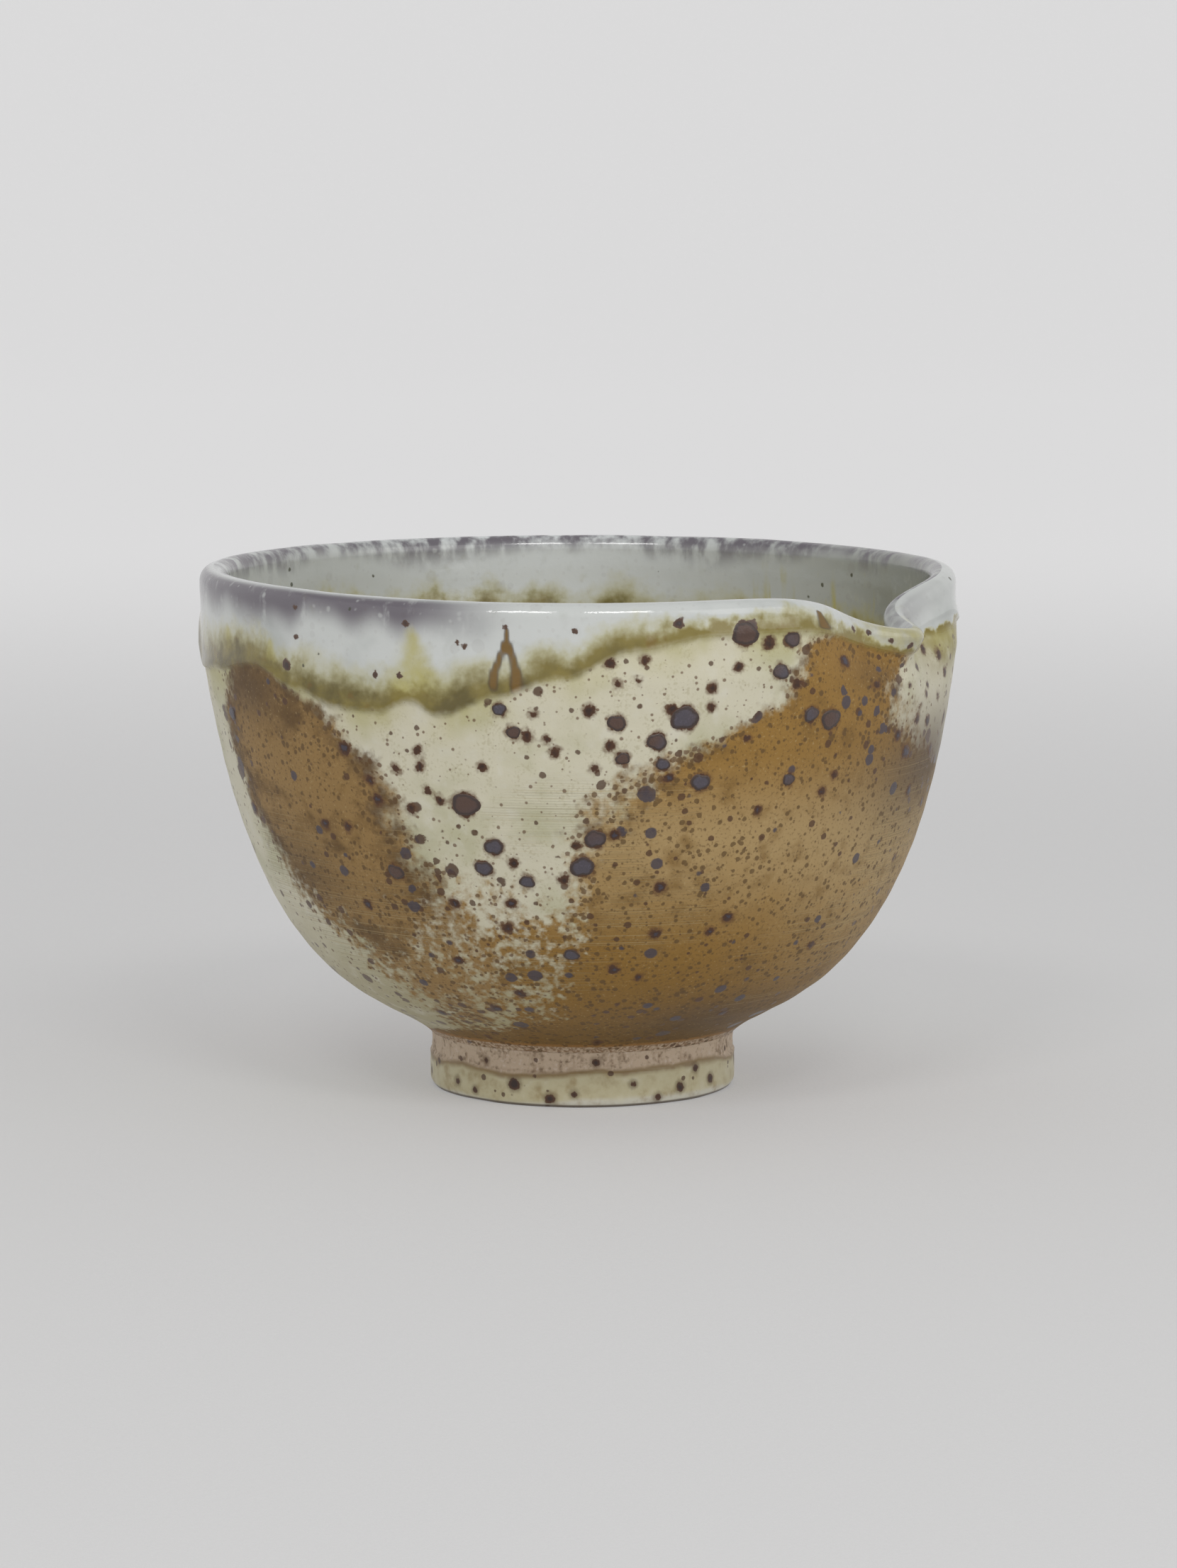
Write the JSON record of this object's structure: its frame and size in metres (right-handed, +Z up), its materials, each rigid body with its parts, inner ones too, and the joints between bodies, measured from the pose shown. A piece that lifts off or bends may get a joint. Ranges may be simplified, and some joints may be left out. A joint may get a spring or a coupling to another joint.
{
  "type": "matcha bowl with pouring lip",
  "caption": "Hemispherical stoneware matcha bowl with a small pouring lip, a turned foot ring, and a pale glaze collar over a speckled cream and ochre glaze.",
  "frame": {"origin": "centre of the foot's resting ring, on the table plane", "axes": "+Z up along the bowl's turning axis, +X out through the pouring lip, +Y to the left of someone who faces the way the lip pours"},
  "size_m": [0.1214, 0.12, 0.0832],
  "materials": {
    "stoneware_clay": "bare fired stoneware, brown and slightly gritty, seen only at the foot's resting ring and in the turned hollow under it",
    "pale_celadon_glaze": "glossy pale blue-grey glaze with a mauve blush on the lip and olive where it breaks over the glaze below",
    "cream_ochre_glaze": "satin cream to golden-ochre glaze, finely speckled, with faint throwing lines",
    "iron_bloom": "dark purple-brown iron blooms with a slightly metallic sheen"
  },
  "bodies": {
    "root": {"bowl_wall": "stoneware_clay", "foot_ring": "stoneware_clay", "liner_glaze": "pale_celadon_glaze", "collar_glaze": "pale_celadon_glaze", "wall_glaze": "cream_ochre_glaze", "foot_glaze": "cream_ochre_glaze", "iron_blooms": "iron_bloom"}
  },
  "joints": []
}
